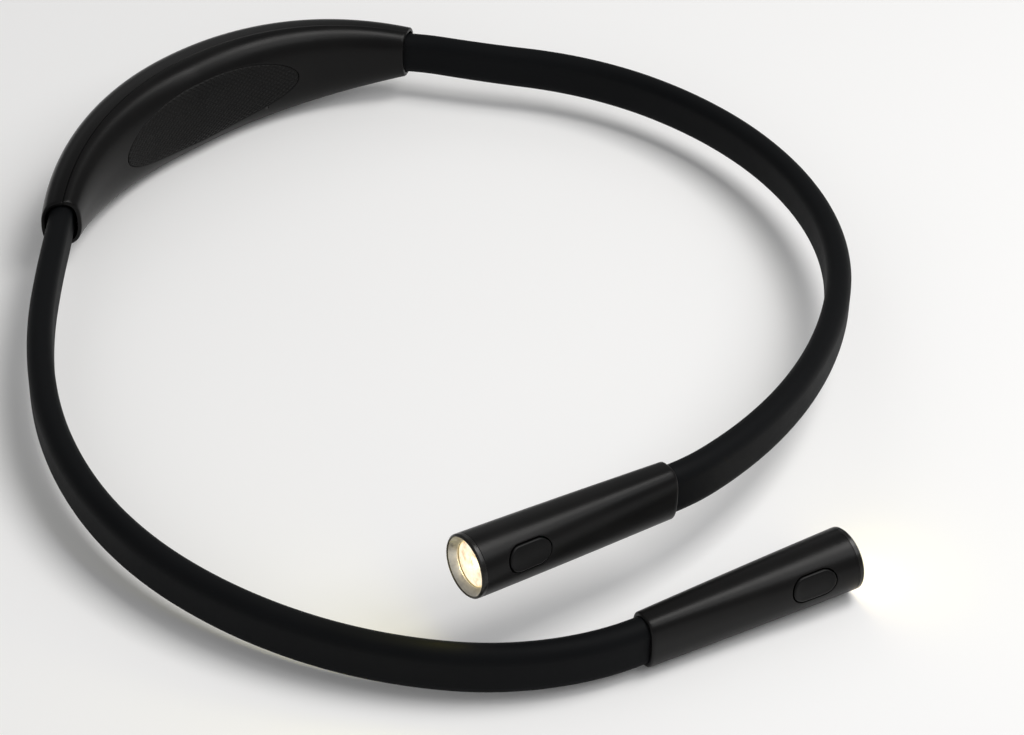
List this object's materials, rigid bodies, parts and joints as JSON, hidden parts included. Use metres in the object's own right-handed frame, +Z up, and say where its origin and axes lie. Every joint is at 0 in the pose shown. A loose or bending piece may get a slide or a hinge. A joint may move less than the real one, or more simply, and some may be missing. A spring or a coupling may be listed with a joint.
{
  "type": "hands-free neck reading light",
  "caption": "Neck-worn reading light: crescent battery pod with a soft neck pad, two bendable flat arms and round-fronted lamp heads with push buttons.",
  "frame": {"origin": "middle of the footprint, on the table that the light lies on", "axes": "+Z up from the table, +Y towards the battery pod at the back of the neck, +X towards the wearer's left"},
  "size_m": [0.2373, 0.2749, 0.0375],
  "materials": {
    "cover_plastic": "satin black moulded shell",
    "pad_rubber": "dark soft pad with fine crossed grooves",
    "sleeve_silicone": "matt black silicone",
    "head_plastic": "satin black",
    "bezel_plastic": "semi-gloss black",
    "button_plastic": "fine matt black",
    "reflector_metal": "satin silver",
    "lens_clear": "warm moulded lens",
    "board": "green circuit board",
    "chips": "black component packages",
    "led_phosphor": "yellow phosphor",
    "switch_body": "black switch body",
    "steel": "bright plated steel",
    "spine_wire": "soft annealed steel wire",
    "cell_foil": "dull pouch foil",
    "tape_foam": "white foam tape",
    "wire_jacket": "insulated wire",
    "lead_jacket": "black jacket",
    "clamp_plastic": "grey moulded nylon",
    "window_clear": "clear light guide"
  },
  "bodies": {
    "pod": {"inner_cover": "cover_plastic", "outer_cover": "cover_plastic", "neck_pad": "pad_rubber", "cover_screws": "steel", "battery": "cell_foil", "battery_tape": "tape_foam", "battery_wires": "wire_jacket", "control_board": "board", "board_components": "chips", "usb_socket": "steel", "charge_led": "led_phosphor", "light_window": "window_clear", "left_arm_clamp": "clamp_plastic", "left_sleeve_pod_end": "sleeve_silicone", "left_spine_pod_end": "spine_wire", "left_leads": "lead_jacket", "right_arm_clamp": "clamp_plastic", "right_sleeve_pod_end": "sleeve_silicone", "right_spine_pod_end": "spine_wire", "right_leads": "lead_jacket"},
    "left_upper_arm": {"left_sleeve_upper": "sleeve_silicone", "left_spine_upper": "spine_wire"},
    "left_middle_arm": {"left_sleeve_middle": "sleeve_silicone", "left_spine_middle": "spine_wire"},
    "left_lower_arm": {"left_sleeve_lower": "sleeve_silicone", "left_spine_lower": "spine_wire"},
    "left_head": {"left_sleeve_head_end": "sleeve_silicone", "left_spine_head_end": "spine_wire", "left_sleeve_anchor": "clamp_plastic", "left_head_shell": "head_plastic", "left_head_bezel": "bezel_plastic", "left_reflector": "reflector_metal", "left_lens": "lens_clear", "left_led_board": "board", "left_led_chips": "led_phosphor", "left_switch_board": "board", "left_tact_switch": "switch_body"},
    "left_button": {"left_button_cap": "button_plastic", "left_switch_stem": "button_plastic"},
    "right_upper_arm": {"right_sleeve_upper": "sleeve_silicone", "right_spine_upper": "spine_wire"},
    "right_middle_arm": {"right_sleeve_middle": "sleeve_silicone", "right_spine_middle": "spine_wire"},
    "right_lower_arm": {"right_sleeve_lower": "sleeve_silicone", "right_spine_lower": "spine_wire"},
    "right_head": {"right_sleeve_head_end": "sleeve_silicone", "right_spine_head_end": "spine_wire", "right_sleeve_anchor": "clamp_plastic", "right_head_shell": "head_plastic", "right_head_bezel": "bezel_plastic", "right_reflector": "reflector_metal", "right_lens": "lens_clear", "right_led_board": "board", "right_led_chips": "led_phosphor", "right_switch_board": "board", "right_tact_switch": "switch_body"},
    "right_button": {"right_button_cap": "button_plastic", "right_switch_stem": "button_plastic"}
  },
  "joints": [
    {"name": "left_arm_bend_1", "type": "hinge", "parent": "pod", "child": "left_upper_arm", "pos_m": [0.0971, 0.07524, 0.01302], "axis": [0.074, 0.0224, 0.997], "range_deg": [-6, 30], "deforming": ["left_leads"]},
    {"name": "left_arm_bend_2", "type": "hinge", "parent": "left_upper_arm", "child": "left_middle_arm", "pos_m": [0.11343, -0.00082, 0.01352], "axis": [0.074, 0.0224, 0.997], "range_deg": [-6, 30], "deforming": ["left_leads"]},
    {"name": "left_arm_bend_3", "type": "hinge", "parent": "left_middle_arm", "child": "left_lower_arm", "pos_m": [0.07183, -0.0691, 0.01815], "axis": [0.074, 0.0224, 0.997], "range_deg": [-6, 30], "deforming": ["left_leads"]},
    {"name": "left_head_aim", "type": "hinge", "parent": "left_lower_arm", "child": "left_head", "pos_m": [-0.00497, -0.09746, 0.02448], "axis": [-0.0593, 0.9981, -0.0181], "range_deg": [-3, 22], "deforming": ["left_leads"]},
    {"name": "left_button_press", "type": "slide", "parent": "left_head", "child": "left_button", "axis": [0.1251, 0.9258, -0.3567], "range_m": [0, 0.0004], "stiffness_N_per_m": 900, "springref_m": -0.0012},
    {"name": "right_arm_bend_1", "type": "hinge", "parent": "pod", "child": "right_upper_arm", "pos_m": [-0.07392, 0.0788, 0.01306], "axis": [0.006, 0.0264, -0.9996], "range_deg": [-6, 30], "deforming": ["right_leads"]},
    {"name": "right_arm_bend_2", "type": "hinge", "parent": "right_upper_arm", "child": "right_middle_arm", "pos_m": [-0.1126, 0.00988, 0.01101], "axis": [0.006, 0.0264, -0.9996], "range_deg": [-6, 30], "deforming": ["right_leads"]},
    {"name": "right_arm_bend_3", "type": "hinge", "parent": "right_middle_arm", "child": "right_lower_arm", "pos_m": [-0.1049, -0.06345, 0.00912], "axis": [0.006, 0.0264, -0.9996], "range_deg": [-6, 30], "deforming": ["right_leads"]},
    {"name": "right_head_aim", "type": "hinge", "parent": "right_lower_arm", "child": "right_head", "pos_m": [-0.06026, -0.11258, 0.00809], "axis": [-0.4175, -0.9083, -0.0265], "range_deg": [-20, 22], "deforming": ["right_leads"]},
    {"name": "right_button_press", "type": "slide", "parent": "right_head", "child": "right_button", "axis": [0.2112, 0.9303, -0.2998], "range_m": [0, 0.0004], "stiffness_N_per_m": 900, "springref_m": -0.0012}
  ]
}
